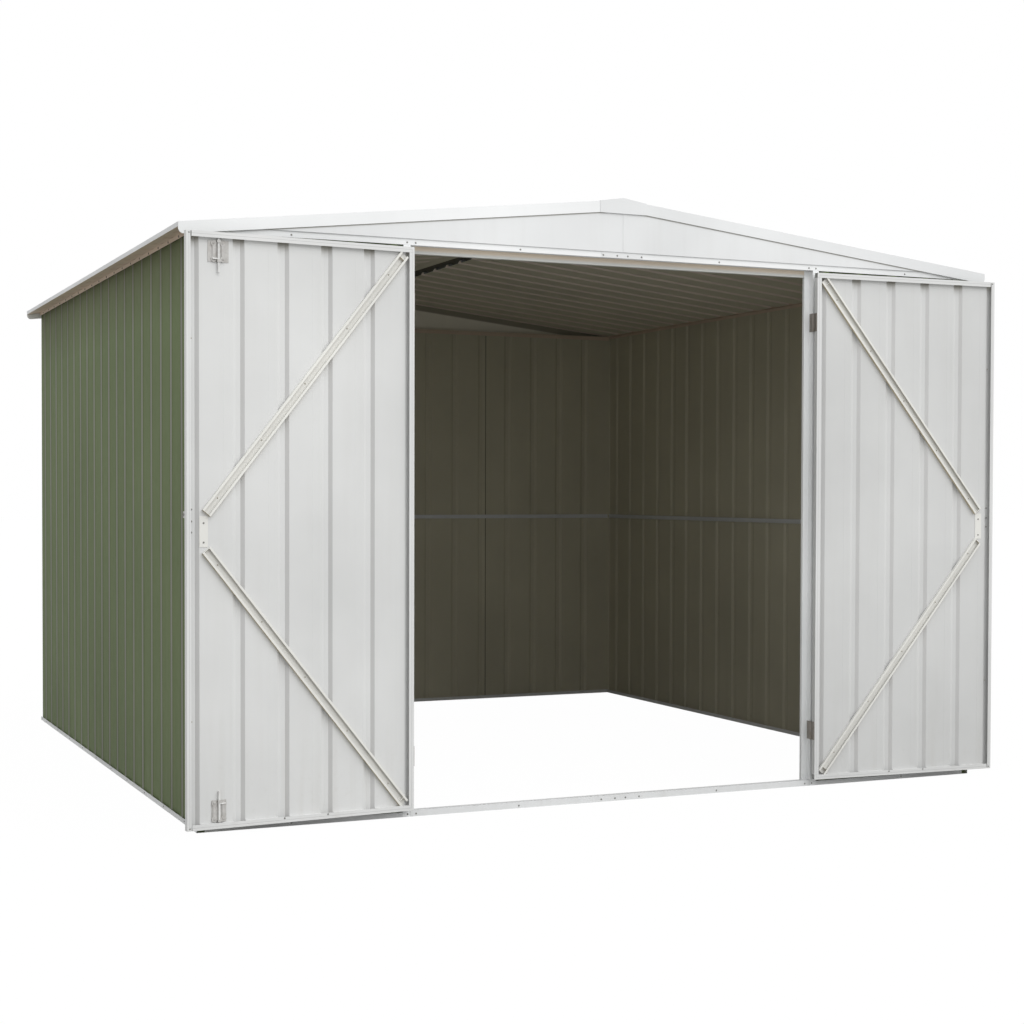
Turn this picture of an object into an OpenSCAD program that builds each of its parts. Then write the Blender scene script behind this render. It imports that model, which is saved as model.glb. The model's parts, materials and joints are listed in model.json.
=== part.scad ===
// Flat-pack metal storage shed with a gable roof and two braced, hinged doors.
// Every piece is a folded steel sheet: ribbed panels stand in channels, the gable
// sheets close the ends, and the roof sheets are held by barges, eaves and a ridge cap.
// Units are millimetres. The front faces -Y, and the origin is the bottom centre of
// the box around the shed with its doors standing open.

/* [Shed] */
// Width over the base channels
base_w = 3000; // [2400:10:3600]
// Depth over the base channels
base_d = 3000; // [2000:10:4200]
// Height of the wall channels' top
wall_h = 1906; // [1700:1:2200]
// Slope of the roof in degrees
roof_pitch = 6.4; // [4:0.1:15]
// Overhang of the roof past the side walls
eave_over = 57; // [43:1:90]

/* [Ribbed sheet] */
// Thickness of the ribbed sheet
sheet_t = 0.8; // [0.5:0.1:1.2]
// Distance between ribs
rib_pitch = 148.5; // [120:0.5:180]
// Width of a rib where it leaves the flat of the sheet
rib_foot = 41; // [34:1:60]
// Width of the flat on top of a rib
rib_crest = 16; // [10:1:30]
// Height of the ribs on walls and doors
rib_h = 6; // [4:0.5:8]
// Height of the ribs on the roof
roof_rib_h = 10; // [8:0.5:20]
// Ribs on one wall panel
panel_ribs = 5; // [3:1:6]
// Flat of a panel beyond its last rib
panel_lap = 4; // [2:0.5:10]
// Joint between two panels
panel_joint = 0.6; // [0.3:0.1:1.5]

/* [Channels] */
// Width of the wall channels
channel_w = 26; // [26:1:40]
// Thickness of channels, jambs and trims
fold_t = 1; // [0.8:0.1:1.5]
// Height of the base channels
base_flange = 16; // [12:1:40]
// Height of the side walls' top channels
eave_flange = 13; // [10:1:30]
// Height of the front and back top channels
head_flange = 20; // [15:1:40]
// Height of the mid rail's middle above ground
rail_z = 948; // [600:1:1300]
// Height of the mid rails
rail_h = 19; // [14:1:40]
// Depth of the mid rails
rail_d = 11; // [8:1:20]

/* [Roof trims] */
// Height of the barge's face
barge_h = 38.5; // [30:0.5:70]
// Radius of the barge's lower outer corner
barge_round = 18; // [8:1:24]
// Depth of the barge's top flange
barge_lap = 50; // [30:1:100]
// Half the width of the apex cap
apex_half_w = 90; // [60:1:150]
// Drop of the apex cap's flat edge below the peak
apex_drop = 54.5; // [48:0.5:90]
// Rise of the apex cap's peak over the barges
cap_rise = 5.5; // [3:0.5:12]
// Half the width of the ridge cap
ridge_half_w = 110; // [80:1:160]
// Turned-down edge of the ridge cap
ridge_lip = 6; // [4:1:14]
// Gap between each roof sheet and the ridge line
ridge_gap = 68; // [30:1:90]
// Reach of the eave channel over the roof sheet
eave_lap = 22; // [12:1:40]
// Depth of the eave channel below the roof sheet
eave_drop = 2; // [1.5:0.5:10]
// Distance of the gable sheets in front of the header
gable_proud = 4; // [3:0.5:8]
// Fold of the gable sheets back over the header
gable_fold = 10; // [5:1:20]
// End of the gable sheets from the side of the shed
gable_in = 20; // [18:1:60]
// Distance of the barges in front of the gable sheets
barge_proud = 3; // [1.8:0.1:6]
// Width of the plate that joins the header's halves
join_w = 160; // [100:5:240]

/* [Doorway] */
// Width between the jambs
doorway_w = 1568; // [1200:1:1700]
// Width of the door stop on the jambs
stop_w = 21; // [12:1:30]
// Width of the jamb's front flange
jamb_front = 25; // [15:1:40]
// Return at the back of the jamb
jamb_back = 12; // [6:1:30]
// Drop of the door stop below the header
stop_drop = 24; // [18:1:40]
// Depth of the door stop's lower flange
stop_depth = 20; // [10:1:40]
// Height of the door sill
sill_h = 21; // [16:1:24]

/* [Doors] */
// Thickness of a door
door_t = 20; // [20:0.5:20.5]
// Height of the doors' lower edge
door_foot = 26; // [26:0.5:40]
// Gap between the doors' top and the header
door_head_gap = 11; // [8:1:20]
// Gap between a door and its jamb
hinge_gap = 6; // [6:0.5:8]
// Gap between the two doors when shut
meet_gap = 6; // [5:0.5:10]
// Width of the door frame's flanges
stile_flange = 18; // [14:1:24]
// Width of the free stile's flanges
free_flange = 14; // [10:1:20]
// Gap between the free stile and the channels at the top and bottom
stile_gap = 3; // [0.5:0.5:6]
// First rib of a door panel from its left edge, seen from inside
panel_rib = 24; // [12:1:40]
// Angle at which the left door stands open
left_open = 175; // [150:0.5:177]
// Angle at which the right door stands open
right_open = 177.5; // [150:0.5:177.5]

/* [Braces] */
// Width of the braces
brace_w = 33; // [24:1:40]
// Width of the lips along a brace
brace_lip = 7; // [3:0.5:9]
// Brace end from the door's hinge edge
brace_side = 33; // [28:1:60]
// Brace end from the door's top or lower edge
brace_end = 25; // [24:1:60]
// Brace end from the door's free edge
brace_free = 65; // [60:1:120]
// Brace end from the door's mid height
brace_mid = 57; // [54:1:120]
// Plate across a brace, from its hinge end
brace_tab = 18; // [8:1:40]
// Strap's middle from the door's free edge
strap_free = 58; // [50:1:100]
// Width of the strap between the braces
strap_w = 28; // [20:1:40]
// Length of the strap
strap_l = 96; // [60:1:100]

/* [Hinges] */
// Length of a hinge
hinge_l = 66; // [50:1:90]
// Thickness of the hinge leaves
leaf_t = 2.5; // [1.5:0.1:2.7]
// Width of the hinge leaves
leaf_w = 18; // [12:1:19]
// Diameter of the hinge barrel
barrel_d = 9; // [8:0.5:10]
// Diameter of the hinge pin
pin_d = 5; // [4:0.5:6]
// Distance of the pin in front of the wall
pin_out = 5.5; // [5.5:0.5:8]
// Height of the lower hinges' middle
hinge_low = 205; // [120:1:400]
// Height of the upper hinges' middle
hinge_high = 1696; // [1300:1:1760]

/* [Slide bolts] */
// Diameter of the bolt rods
rod_d = 7; // [5:0.5:7.5]
// Length of the bolt rods
rod_l = 103; // [95:1:130]
// Rods from the left door's free edge
rod_in = 106; // [90:1:140]
// Width of the bolt plates
bolt_plate_w = 48; // [40:1:60]
// Width of the wider plate under the top bolt
top_plate_w = 68; // [50:1:80]
// Height of the bolt plates
bolt_plate_h = 68; // [66:1:80]
// Height of each guide on a bolt plate
guide_h = 8; // [6:1:9]
// Gap between the top bolt's plate and the door's top channel
top_plate_gap = 6; // [2:1:12]
// Gap between the bottom bolt's plate and the door's lower channel
low_plate_gap = 2; // [2:1:12]
// Gap between a drawn-back rod and the edge of the top channel
top_rod_gap = 2; // [1:1:6]
// End of the drawn-back bottom rod above the door's lower edge
low_rod_up = 14; // [10:1:16]
// Length of the knob on a rod
knob_l = 20; // [12:1:26]
// Diameter of the knob
knob_d = 4.5; // [4:0.5:4.5]

/* [Pad bolt] */
// Height of the pad bolt above ground
lock_z = 1003; // [800:1:1200]
// Length of the pad bolt's plate
lock_l = 182; // [150:1:220]
// Height of the pad bolt's plate
lock_h = 54; // [44:1:70]
// Diameter of the pad bolt
lock_d = 10; // [8:0.5:12]
// Width of the pad bolt's guides
lock_guide_w = 14; // [10:1:20]
// Second guide of the pad bolt from the first
lock_guide_gap = 86; // [60:1:120]
// Handle of the pad bolt from the end of its plate
lock_handle_in = 64; // [40:1:90]
// Width of the pad bolt's handle
lock_handle_w = 16; // [10:1:24]
// Wall of the guides round the pad bolt
lock_wall = 2; // [1.5:0.5:3]
// Width of the keeper
keeper_w = 17; // [12:1:18]
// Height of the keeper
keeper_h = 92; // [70:1:110]

/* [Fits] */
// Gap between pieces that sit on each other
seat = 0.3; // [0.2:0.05:0.5]
// Gap round a pin or a rod in its guide
run_gap = 0.06; // [0.03:0.01:0.1]
// Gap round a rod where it passes a channel
pass_gap = 0.6; // [0.5:0.1:0.7]

/* [Hidden] */
$fn = 48;

white = "whitesmoke";
green = "darkolivegreen";
steel = "silver";
cut = 1;

// Doors and hinge pins
door_w = doorway_w / 2 - hinge_gap - meet_gap / 2;
door_top = wall_h - head_flange - door_head_gap;
door_mid = (door_foot + door_top) / 2;
pin_x = doorway_w / 2 - hinge_gap / 2;
pan_v = fold_t + seat + rib_h + sheet_t;
rod_v = pan_v + 2 * seat + fold_t + rod_d / 2;
rod_u = door_w - rod_in;

// Planes of the front and back, so that the open doors and the caps end the box
function open_reach(angle) = pin_out + (door_w + hinge_gap / 2) * sin(angle)
    - (door_t + pin_out) * cos(angle);
barge_out = gable_proud + barge_proud;
cap_out = barge_out + seat + fold_t;
front_y = (max(open_reach(left_open), open_reach(right_open)) - base_d - cap_out) / 2;
back_y = front_y + base_d;
side_x = base_w / 2;

// Roof: the underside of the sheets rests on the outer edge of the side channels
eave_x = side_x + eave_over;
roof_z = wall_h + seat + side_x * tan(roof_pitch);
roof_len = eave_x / cos(roof_pitch) - fold_t - seat;
crest_n = roof_rib_h + sheet_t;
eave_top = crest_n + seat + fold_t;
barge_z = roof_z + (eave_top + seat + fold_t) / cos(roof_pitch);
cap_z = barge_z + cap_rise;
header_foot = wall_h - head_flange;
roof_end = barge_out - fold_t - seat;
roof_w = base_d + 2 * roof_end;
roof_mid_y = (front_y + back_y) / 2;
fall = tan(roof_pitch);

// Where the wall channels leave room for each other at the corners
inner_x = side_x - channel_w - seat;
corner_x = side_x - pan_v - seat;
jamb_x = doorway_w / 2;

// A sheet folded along a line of points, with its thickness to the left of the line
function unit(v) = v / norm(v);
function left_of(v) = [-v[1], v[0]];
function side_of(p, i) = left_of(unit(p[i + 1] - p[i]));
function corner_of(a, b) = let (m = unit(a + b)) m / (m * a);
function offset_of(p, i) =
    i == 0 ? side_of(p, 0)
    : i == len(p) - 1 ? side_of(p, i - 1)
    : corner_of(side_of(p, i - 1), side_of(p, i));
function folded(p, t) = concat(p, [for (i = [len(p) - 1 : -1 : 0]) p[i] + t * offset_of(p, i)]);

// A channel that opens upwards, one that opens to the right, and the same with lips along its edges
function tray(w, flange, t) = folded([[0, flange], [0, 0], [w, 0], [w, flange]], t);
function trough(w, flange, t) = folded([[flange, w], [0, w], [0, 0], [flange, 0]], t);
function lipped(w, flange, lip, t) =
    folded([[flange, w - lip], [flange, w], [0, w], [0, 0], [flange, 0], [flange, lip]], t);

// The line of a ribbed sheet between two edges, with its ribs towards -Y
function rib_at(x, h) = [[x - rib_foot / 2, 0], [x - rib_crest / 2, -h], [x + rib_crest / 2, -h],
    [x + rib_foot / 2, 0]];
function ribbed(left, right, first, h) =
    let (low = ceil((left + rib_foot / 2 - first) / rib_pitch),
         high = floor((right - rib_foot / 2 - first) / rib_pitch))
    concat([[left, 0]], [for (i = [low : high], p = rib_at(first + i * rib_pitch, h)) p], [[right, 0]]);
function ribs_in(length) = floor((length - rib_foot) / rib_pitch) + 1;
function first_rib(length, count) = (length - (count - 1) * rib_pitch) / 2;

module along_x(x, length) {
    translate([x, 0, 0]) rotate([90, 0, 90]) linear_extrude(length) children();
}

module along_y(y, length) {
    translate([0, y + length, 0]) rotate([90, 0, 0]) linear_extrude(length) children();
}

module along_z(z, length) {
    translate([0, 0, z]) linear_extrude(length) children();
}

module other_side() {
    mirror([1, 0, 0]) children();
}

// The back of the shed repeats the front
module other_end() {
    translate([0, front_y + back_y, 0]) mirror([0, 1, 0]) children();
}

// Room at both ends of a side channel for the front and back walls to reach the corner
module corner_notches(z) {
    notch_x = -inner_x - seat - 2 * fold_t;
    for (y = [front_y - cut, back_y - channel_w])
        translate([notch_x, y, z]) cube([3 * fold_t, channel_w + cut, base_flange + eave_flange]);
}

// Base channels, with the sill between the jambs
module base_left() {
    color(white) difference() {
        along_y(front_y, base_d) translate([-side_x, 0]) polygon(tray(channel_w, base_flange, fold_t));
        corner_notches(fold_t);
    }
}

module base_right() {
    other_side() base_left();
}

module base_back() {
    color(white) along_x(-inner_x, 2 * inner_x)
        translate([back_y - channel_w, 0]) polygon(tray(channel_w, base_flange, fold_t));
}

module base_front_left() {
    length = inner_x - jamb_x - jamb_front - seat;
    color(white) along_x(-inner_x, length)
        translate([front_y, 0]) polygon(tray(channel_w, base_flange, fold_t));
}

module base_front_right() {
    other_side() base_front_left();
}

module door_sill() {
    sill_d = channel_w - fold_t - seat;
    length = doorway_w - 2 * fold_t;
    color(white) difference() {
        along_x(-length / 2, length) translate([front_y, sill_h]) mirror([0, 1])
            polygon(tray(sill_d, sill_h, fold_t));
        left_shut() rod_hole(sill_h - 2 * fold_t);
    }
}

// A ribbed panel from one base channel to the top channel over it
module ribbed_panel(left, right, first) {
    foot = fold_t + seat;
    color(green) along_z(foot, wall_h - foot - fold_t - seat) translate([0, foot + rib_h])
        polygon(folded(ribbed(left, right, first, rib_h), sheet_t));
}

// Panels side by side over the length of a wall
module ribbed_wall(length, first) {
    end_of_panel = first + (panel_ribs - 1) * rib_pitch + rib_foot / 2 + panel_lap;
    joints = [for (x = [end_of_panel : panel_ribs * rib_pitch : length - rib_pitch]) x];
    edges = concat([0], joints, [length]);
    translate([-length / 2, 0, 0])
        for (i = [0 : len(edges) - 2])
            ribbed_panel(edges[i] + panel_joint / 2, edges[i + 1] - panel_joint / 2, first);
}

// The side walls' first rib stands half a pitch from the front corner
module left_wall() {
    length = base_d - 2 * (fold_t + seat);
    count = floor((length - rib_pitch / 2 - rib_foot / 2) / rib_pitch) + 1;
    translate([-side_x, roof_mid_y, 0]) rotate([0, 0, -90])
        ribbed_wall(length, length - (count - 0.5) * rib_pitch);
}

module right_wall() {
    other_side() left_wall();
}

// The back wall has a rib in its middle
module back_wall() {
    length = 2 * corner_x;
    count = 2 * floor((corner_x - rib_foot) / rib_pitch) + 1;
    other_side() translate([0, back_y, 0]) rotate([0, 0, 180]) ribbed_wall(length, first_rib(length, count));
}

// A single panel stands on each side of the doorway
module front_left_wall() {
    length = corner_x - jamb_x - 2 * fold_t;
    translate([-corner_x, front_y, 0]) ribbed_panel(0, length, first_rib(length, ribs_in(length)));
}

module front_right_wall() {
    other_side() front_left_wall();
}

// Jamb: a front flange over the wall panel, the reveal, the door stop and its return
module left_jamb() {
    stop_y = channel_w - fold_t;
    line = [[-jamb_front, 0], [0, 0], [0, stop_y], [stop_w, stop_y], [stop_w, stop_y + jamb_back]];
    color(white) along_z(0, header_foot - seat)
        translate([-jamb_x, front_y]) polygon(folded(line, fold_t));
}

module right_jamb() {
    other_side() left_jamb();
}

// Channels along the tops of the walls
module top_channel_left() {
    color(white) difference() {
        along_y(front_y, base_d) translate([-side_x, wall_h]) mirror([0, 1])
            polygon(tray(channel_w, eave_flange, fold_t));
        corner_notches(wall_h - fold_t - base_flange - eave_flange);
    }
}

module top_channel_right() {
    other_side() top_channel_left();
}

// Header in two halves, with a joint behind the join plate
module header_half() {
    color(white) along_x(panel_joint / 2, inner_x - panel_joint / 2) translate([front_y, wall_h])
        mirror([0, 1]) polygon(tray(channel_w, head_flange, fold_t));
}

module header() {
    header_half();
    other_side() header_half();
}

module top_channel_back() {
    other_end() header();
}

// Angle that the doors' top edges shut against
module door_stop() {
    length = doorway_w - 2 * (stop_w + seat);
    y = front_y + channel_w + seat;
    foot = header_foot - stop_drop;
    line = [[0, wall_h - fold_t], [0, foot], [stop_depth, foot]];
    color(white) along_x(-length / 2, length) translate([y, 0]) polygon(folded(line, fold_t));
}

// Mid rails on the inner side of the panels
module rail_bar(length) {
    along_x(-length / 2, length) translate([0, rail_z - rail_h / 2])
        polygon(trough(rail_h, rail_d, fold_t));
}

module back_rail() {
    y = back_y - pan_v - seat;
    length = 2 * (side_x - pan_v - 2 * seat - rail_d);
    color(white) translate([0, y, 0]) mirror([0, 1, 0]) rail_bar(length);
}

module left_rail() {
    x = -side_x + pan_v + seat;
    front_end = front_y + channel_w + seat;
    length = back_y - pan_v - 2 * seat - front_end;
    color(white) translate([x, front_end + length / 2, 0]) rotate([0, 0, -90]) rail_bar(length);
}

module right_rail() {
    other_side() left_rail();
}

// Gable: a flat sheet up to the roof, proud of the header and folded back over it
module gable_half() {
    foot = wall_h + seat;
    line = [[gable_fold, foot], [-gable_proud, foot], [-gable_proud, cap_z]];
    end_x = side_x - gable_in;
    under = roof_z - seat / cos(roof_pitch);
    outline = [[panel_joint / 2, foot], [end_x, foot], [end_x, under - end_x * fall],
        [panel_joint / 2, under - panel_joint / 2 * fall]];
    intersection() {
        along_x(0, side_x) translate([front_y, 0]) polygon(folded(line, -fold_t));
        along_y(front_y - barge_lap, 2 * barge_lap) polygon(outline);
    }
}

module front_gable() {
    color(white) gable_half();
    color(white) other_side() gable_half();
}

module back_gable() {
    other_end() front_gable();
}

// Plate over the joint between the header's halves
module front_join_plate() {
    y = front_y - seat - fold_t;
    color(white) translate([-join_w / 2, y, header_foot]) cube([join_w, fold_t, head_flange]);
}

module back_join_plate() {
    other_end() front_join_plate();
}

// Barge: a face over the gable's sloping edge and a flange over the end of the roof sheet
module barge_face() {
    low = barge_z - barge_h;
    r = barge_round;
    corner = [eave_x - r, low - eave_x * fall + r + r * fall / 2];
    difference() {
        polygon([[panel_joint / 2, barge_z - panel_joint / 2 * fall], [eave_x, barge_z - eave_x * fall],
            [eave_x, low - eave_x * fall], [panel_joint / 2, low - panel_joint / 2 * fall]]);
        difference() {
            translate(corner - [0, 2 * r]) square([2 * r, 2 * r]);
            translate(corner) circle(r);
        }
    }
}

module front_barge_right() {
    flange = [[panel_joint / 2, barge_z - panel_joint / 2 * fall], [eave_x, barge_z - eave_x * fall]];
    color(white) along_y(front_y - barge_out, fold_t) barge_face();
    color(white) along_y(front_y - barge_out, barge_lap)
        polygon(concat(flange, [for (i = [1, 0]) flange[i] - [0, fold_t / cos(roof_pitch)]]));
}

module front_barge_left() {
    other_side() front_barge_right();
}

module back_barge_right() {
    other_end() front_barge_right();
}

module back_barge_left() {
    other_end() front_barge_left();
}

// Apex cap: a plate with a flat lower edge and a steeper peak, folded back over both barges
module front_apex_cap() {
    brow = barge_z - apex_half_w * fall + 2 * seat + fold_t;
    foot = cap_z - apex_drop;
    roof_line = [[apex_half_w, brow], [0, cap_z], [-apex_half_w, brow]];
    color(white) along_y(front_y - cap_out, fold_t)
        polygon(concat(roof_line, [[-apex_half_w, foot], [apex_half_w, foot]]));
    color(white) along_y(front_y - cap_out, barge_lap) polygon(folded(roof_line, fold_t));
}

module back_apex_cap() {
    other_end() front_apex_cap();
}

// Roof sheets and eave channels lie in the slope of the right-hand side of the roof
module on_slope() {
    translate([0, roof_mid_y, roof_z]) rotate([0, roof_pitch, 0]) children();
}

module right_roof() {
    first = first_rib(roof_w, ribs_in(roof_w)) - roof_w / 2;
    color(white) on_slope() along_x(ridge_gap, roof_len - ridge_gap)
        mirror([0, 1]) translate([0, -sheet_t])
            polygon(folded(ribbed(-roof_w / 2, roof_w / 2, first, roof_rib_h), sheet_t));
}

module left_roof() {
    other_side() right_roof();
}

module right_eave() {
    color(white) on_slope() along_y(-roof_w / 2, roof_w)
        translate([roof_len + seat + fold_t, -eave_drop]) mirror([1, 0])
            polygon(trough(eave_top + eave_drop, eave_lap, fold_t));
}

module left_eave() {
    other_side() right_eave();
}

// Ridge cap: its turned-down edges stand on the ribs of both roof sheets
module ridge_cap() {
    top = roof_z + (crest_n + seat) / cos(roof_pitch) + ridge_lip;
    edge = top - ridge_half_w * fall;
    line = [[ridge_half_w, edge - ridge_lip], [ridge_half_w, edge], [0, top], [-ridge_half_w, edge],
        [-ridge_half_w, edge - ridge_lip]];
    y = front_y - barge_out + barge_lap + seat;
    color(white) along_y(y, back_y + front_y - 2 * y) polygon(folded(line, fold_t));
}

// Butt hinges: a leaf against the jamb with the pin, and a leaf on the door's edge
hinge_heights = [hinge_low, hinge_high];
knuckles = 5;
knuckle_l = hinge_l / knuckles;

// A leaf of one hinge seen from its pin, with its back face at distance x from it
module hinge_leaf(x, odd, bore) {
    difference() {
        union() {
            translate([x, pin_out, -hinge_l / 2]) cube([leaf_t, leaf_w, hinge_l - seat]);
            for (i = [odd : 2 : knuckles - 1])
                translate([0, 0, i * knuckle_l - hinge_l / 2]) {
                    cylinder(d = barrel_d, h = knuckle_l - seat);
                    translate([x, 0, 0]) cube([leaf_t, pin_out + fold_t, knuckle_l - seat]);
                }
        }
        translate([0, 0, -hinge_l]) cylinder(d = bore, h = 2 * hinge_l);
    }
}

module left_jamb_hinges() {
    color(steel) for (z = hinge_heights) translate([-pin_x, front_y - pin_out, z]) {
        hinge_leaf(-hinge_gap / 2, 0, pin_d - 2 * run_gap);
        translate([0, 0, -hinge_l / 2]) cylinder(d = pin_d, h = hinge_l - seat);
    }
}

module right_jamb_hinges() {
    other_side() left_jamb_hinges();
}

module door_hinges() {
    color(steel) for (z = hinge_heights) translate([-hinge_gap / 2, -pin_out, z])
        hinge_leaf(hinge_gap / 2 - leaf_t, 1, pin_d + 2 * run_gap);
}

// Doors are drawn from their hinge edge (x) and outer face (y), then swung open
module left_hung(angle) {
    translate([-pin_x, front_y - pin_out, 0]) rotate([0, 0, -angle])
        translate([hinge_gap / 2, pin_out, 0]) children();
}

module left_shut() {
    left_hung(0) children();
}

module left_swung() {
    left_hung(left_open) children();
}

module right_swung() {
    other_side() left_hung(right_open) children();
}

// Both doors have the same panel, so its ribs stand nearer to the hinges on the left door
module door_panel(first) {
    edge = fold_t + seat;
    tall = door_top - door_foot - 2 * edge;
    color(green) along_z(door_foot + edge, tall) intersection() {
        translate([0, edge + rib_h])
            polygon(folded(ribbed(-rib_pitch, door_w + rib_pitch, first, rib_h), sheet_t));
        translate([edge, 0]) square([door_w - 2 * edge, door_t]);
    }
}

// The free stile runs the full height, and the channels run from it over the hinge stile
module door_frame() {
    lap = stile_flange + seat;
    tall = door_top - door_foot;
    rail_l = door_w - free_flange - stile_gap;
    rail = tray(door_t, stile_flange, fold_t);
    color(white) {
        along_x(0, rail_l) translate([0, door_top]) mirror([0, 1]) polygon(rail);
        along_x(0, rail_l) translate([0, door_foot]) polygon(rail);
        along_z(door_foot + lap, tall - 2 * lap) polygon(trough(door_t, stile_flange, fold_t));
        along_z(door_foot, tall) translate([door_w, 0]) mirror([1, 0])
            polygon(trough(door_t, free_flange, fold_t));
    }
}

// Two lipped channels with closed ends, from the hinge corners to the strap near the free edge
module brace(from, to) {
    run = to - from;
    depth = door_t - fold_t - seat - pan_v - seat;
    translate([from[0], pan_v + seat, from[1]]) rotate([0, -atan2(run[1], run[0]), 0]) {
        along_x(0, norm(run)) translate([0, -brace_w / 2])
            polygon(lipped(brace_w, depth, brace_lip, fold_t));
        for (x = [brace_tab, norm(run) - fold_t])
            translate([x, 0, -brace_w / 2]) cube([fold_t, depth, brace_w]);
    }
}

module door_braces() {
    free = door_w - brace_free;
    strap = [door_w - strap_free - strap_w / 2, pan_v + seat, door_mid - strap_l / 2];
    color(white) {
        brace([brace_side, door_top - brace_end], [free, door_mid + brace_mid]);
        brace([brace_side, door_foot + brace_end], [free, door_mid - brace_mid]);
        translate(strap) cube([strap_w, fold_t, strap_l]);
    }
}

// A round hole for a bolt's rod, through whatever stands above height z
module rod_hole(z) {
    translate([rod_u, rod_v, z]) cylinder(d = rod_d + 2 * pass_gap, h = stile_flange);
}

module left_door_panel() {
    left_swung() door_panel(door_w - panel_rib);
}

module left_door_frame() {
    color(white) left_swung() difference() {
        door_frame();
        rod_hole(door_foot - cut);
        rod_hole(door_top - 2 * fold_t);
    }
}

module left_door_braces() {
    left_swung() door_braces();
}

module left_door_hinges() {
    left_swung() door_hinges();
}

// Slide bolts at the top and bottom of the left door, drawn back
plate_v = pan_v + seat;
top_plate_z = door_top - stile_flange - top_plate_gap - bolt_plate_h;
low_plate_z = door_foot + stile_flange + low_plate_gap;
top_rod_z = door_top - stile_flange - top_rod_gap - rod_l;
low_rod_z = door_foot + low_rod_up;
knob_v = rod_v + rod_d / 2 - knob_d / 2;
guide_w = rod_d + 2 * lock_wall;
lobe_w = (bolt_plate_w - guide_w) / 2;
lobe_bar = lobe_w / 2;
lobe_h = rod_d - knob_d;

// A raised bar between two round lobes beside the rod, low enough for the knob to pass over it
module bolt_lobe(x, z) {
    long = bolt_plate_h - lobe_w;
    translate([x, plate_v, z + bolt_plate_h / 2]) {
        translate([-lobe_bar / 2, 0, -long / 2]) cube([lobe_bar, fold_t + lobe_h, long]);
        for (end = [-1, 1])
            translate([0, fold_t + lobe_h, end * long / 2]) rotate([90, 0, 0])
                cylinder(d = lobe_w, h = fold_t + lobe_h);
    }
}

module bolt_bracket(z, plate_w) {
    guide_out = rod_v + rod_d / 2 + fold_t - plate_v;
    difference() {
        union() {
            translate([rod_u - plate_w / 2, plate_v, z]) cube([plate_w, fold_t, bolt_plate_h]);
            for (side = [-1, 1])
                bolt_lobe(rod_u + side * (guide_w + lobe_w) / 2, z);
            for (dz = [0, bolt_plate_h - guide_h])
                translate([rod_u - guide_w / 2, plate_v, z + dz]) cube([guide_w, guide_out, guide_h]);
        }
        translate([rod_u, rod_v, z - cut]) cylinder(d = rod_d + 2 * run_gap, h = bolt_plate_h + 2 * cut);
    }
}

module bolt_brackets() {
    color(steel) left_swung() {
        bolt_bracket(top_plate_z, top_plate_w);
        bolt_bracket(low_plate_z, bolt_plate_w);
    }
}

// The knob points to the free edge on the top bolt and to the hinges on the bottom one
module bolt_rod(z, knob_z, side) {
    translate([rod_u, rod_v, z]) cylinder(d = rod_d, h = rod_l);
    translate([rod_u, knob_v, knob_z]) rotate([0, side * 90, 0]) cylinder(d = knob_d, h = knob_l);
}

module top_bolt() {
    color(steel) left_swung() bolt_rod(top_rod_z, top_plate_z + guide_h + knob_d / 2 + seat, 1);
}

module bottom_bolt() {
    knob_z = low_plate_z + bolt_plate_h - guide_h - knob_d / 2 - seat;
    color(steel) left_swung() bolt_rod(low_rod_z, knob_z, -1);
}

// Pad bolt on the right door's outer face, and its keeper on the left door
lock_v = -fold_t - lock_d / 2 - lock_wall;
lock_depth = fold_t + lock_d + 2 * lock_wall;

module left_door_keeper() {
    bore_d = lock_d + 2 * pass_gap;
    color(steel) left_swung() translate([door_w - keeper_w, 0, lock_z]) difference() {
        union() {
            translate([0, -fold_t, -keeper_h / 2]) cube([keeper_w, fold_t, keeper_h]);
            translate([0, -lock_depth, -lock_d]) cube([keeper_w, lock_depth, 2 * lock_d]);
        }
        translate([-cut, lock_v, 0]) rotate([0, 90, 0]) cylinder(d = bore_d, h = keeper_w + 2 * cut);
    }
}

module right_door_lock() {
    color(steel) right_swung() translate([door_w - lock_l, 0, lock_z]) {
        translate([0, -fold_t, -lock_h / 2]) cube([lock_l, fold_t, lock_h]);
        for (u = [0, lock_guide_gap, lock_l - lock_guide_w])
            translate([u, -lock_depth, -lock_d]) cube([lock_guide_w, lock_depth, 2 * lock_d]);
        translate([0, lock_v, 0]) rotate([0, 90, 0]) cylinder(d = lock_d, h = lock_l);
        translate([lock_handle_in, lock_v - lock_wall, -lock_h / 2])
            cube([lock_handle_w, lock_wall, lock_h / 2]);
    }
}

module right_door_panel() {
    right_swung() door_panel(panel_rib);
}

module right_door_frame() {
    right_swung() door_frame();
}

module right_door_braces() {
    right_swung() door_braces();
}

module right_door_hinges() {
    right_swung() door_hinges();
}

base_left();
base_right();
base_back();
base_front_left();
base_front_right();
door_sill();
left_wall();
right_wall();
back_wall();
front_left_wall();
front_right_wall();
left_jamb();
right_jamb();
top_channel_left();
top_channel_right();
top_channel_back();
header();
door_stop();
left_rail();
right_rail();
back_rail();
front_gable();
back_gable();
front_join_plate();
back_join_plate();
front_barge_left();
front_barge_right();
back_barge_left();
back_barge_right();
front_apex_cap();
back_apex_cap();
left_roof();
right_roof();
left_eave();
right_eave();
ridge_cap();
left_jamb_hinges();
right_jamb_hinges();
left_door_panel();
left_door_frame();
left_door_braces();
left_door_hinges();
bolt_brackets();
left_door_keeper();
top_bolt();
bottom_bolt();
right_door_panel();
right_door_frame();
right_door_braces();
right_door_hinges();
right_door_lock();
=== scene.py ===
"""Looks of a flat-pack metal storage shed: ribbed sheet painted green outside and off-white inside,
white folded trims, zinc hinges and slide bolts, and the rivets and screws that hold it together."""
import json
import math
from collections import namedtuple

import bmesh
import bpy
from mathutils import Matrix, Vector


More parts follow.
